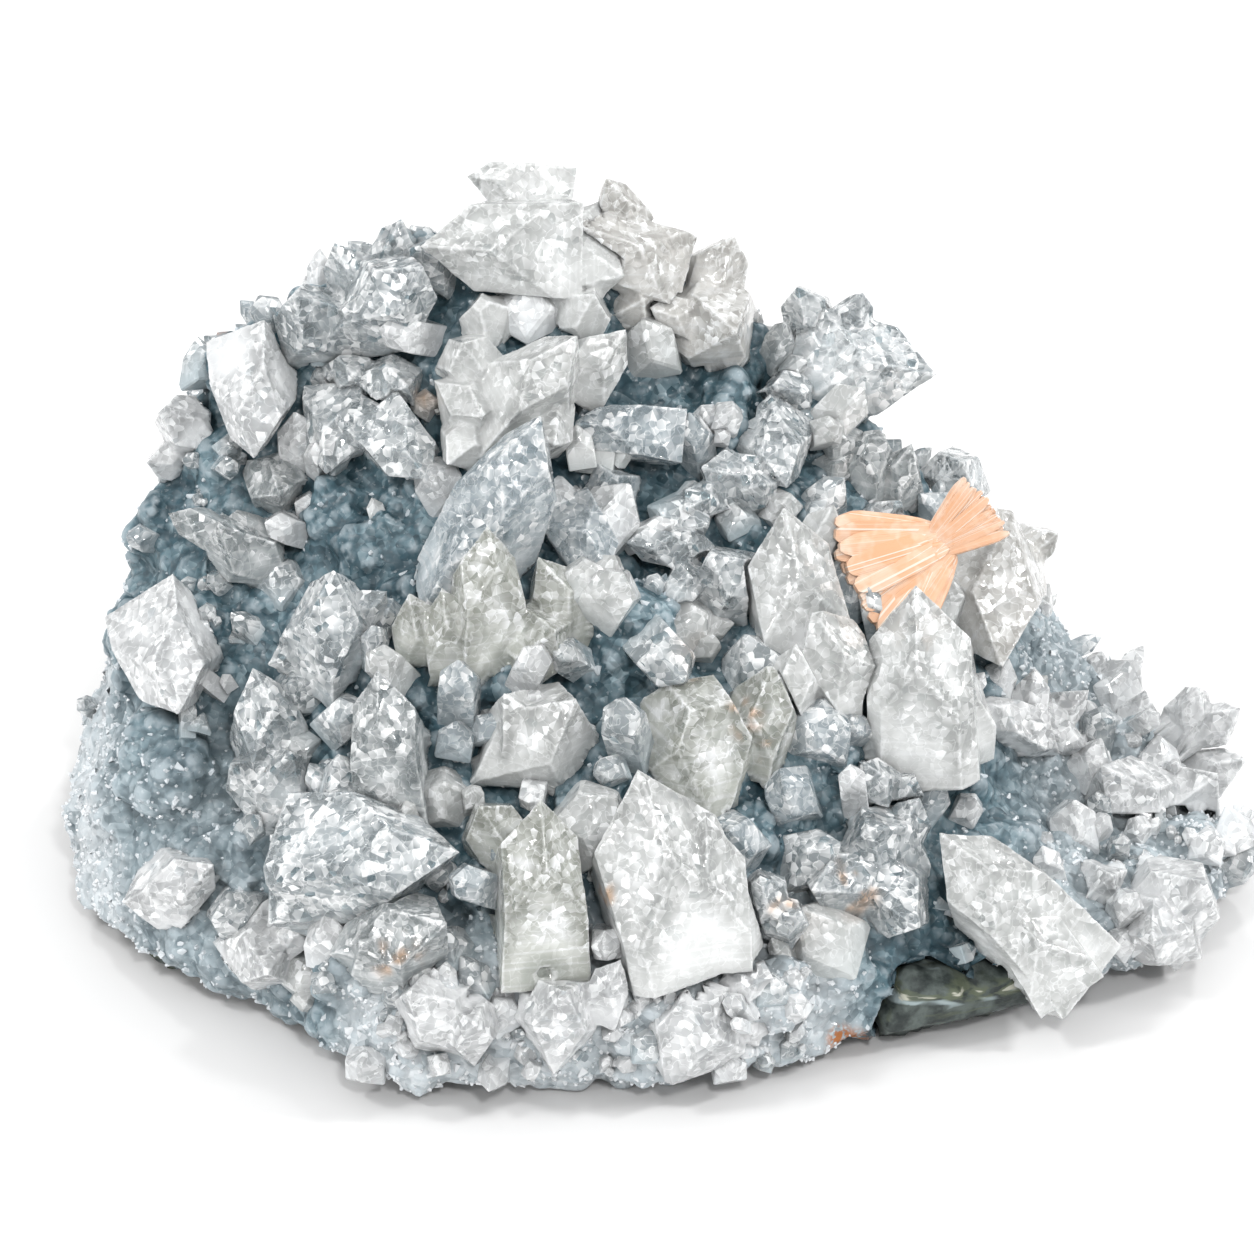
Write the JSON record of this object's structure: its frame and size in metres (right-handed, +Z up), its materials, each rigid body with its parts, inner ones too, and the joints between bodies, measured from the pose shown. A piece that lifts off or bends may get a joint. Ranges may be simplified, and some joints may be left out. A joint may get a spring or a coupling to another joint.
{
  "type": "apophyllite and stilbite cluster",
  "caption": "Mineral specimen: clear to milky pointed apophyllite crystals and peach stilbite sheaves on lumpy blue-grey chalcedony over basalt, lying on its flat base.",
  "frame": {"origin": "middle of the flat base that the basalt stands on", "axes": "+X along the specimen's length to the viewer's right, +Y to its broken back, +Z up; the crystals face -Y and up"},
  "size_m": [0.1526, 0.1054, 0.0893],
  "materials": {
    "chalcedony": "waxy, lumpy, blue-grey with paler edges",
    "basalt": "rough broken dark green-grey rock with pale bands",
    "apophyllite": "glassy faces, clear in the points and milky in the prisms, with crackle inside",
    "stilbite": "satin, peach, in fine blades"
  },
  "bodies": {
    "root": {"basalt_base": "basalt", "chalcedony_crust": "chalcedony", "barrel_crystal": "apophyllite", "tower_crystal": "apophyllite", "flat_topped_block": "apophyllite", "boulder_crystal": "apophyllite", "green_barrel": "apophyllite", "reclining_crystal": "apophyllite", "wing_spear": "apophyllite", "banded_spire": "apophyllite", "crown_crystals": "apophyllite", "pebble_crystal": "apophyllite", "shoulder_crystal": "apophyllite", "rose_block": "apophyllite", "tent_crystals": "apophyllite", "bank_outer": "apophyllite", "bank_hanging": "apophyllite", "bank_lower": "apophyllite", "bank_middle": "apophyllite", "striated_crystals": "apophyllite", "crown_right": "apophyllite", "pointing_crystal": "apophyllite", "blue_heart": "apophyllite", "middle_cluster": "apophyllite", "ridge_crystal": "apophyllite", "under_pebble": "apophyllite", "grey_pillars": "apophyllite", "right_edge_round": "apophyllite", "grey_blades": "apophyllite", "star_cluster": "apophyllite", "wing_white": "apophyllite", "wing_points": "apophyllite", "wing_druse": "apophyllite", "wing_round": "apophyllite", "wing_mass": "apophyllite", "lower_right_cluster": "apophyllite", "tower_foot": "apophyllite", "olive_spires": "apophyllite", "middle_stars": "apophyllite", "leaf_crystal": "apophyllite", "striped_crystal": "apophyllite", "left_round": "apophyllite", "vug_roof": "apophyllite", "left_edge_crystal": "apophyllite", "white_boulder": "apophyllite", "left_points": "apophyllite", "shelf_striped": "apophyllite", "lower_left_white": "apophyllite", "streaked_crystal": "apophyllite", "lip_left": "apophyllite", "lip_middle": "apophyllite", "lip_right": "apophyllite", "stained_cluster": "apophyllite", "stilbite_fan": "stilbite", "stilbite_brush": "stilbite", "stilbite_sliver": "stilbite"}
  },
  "joints": []
}
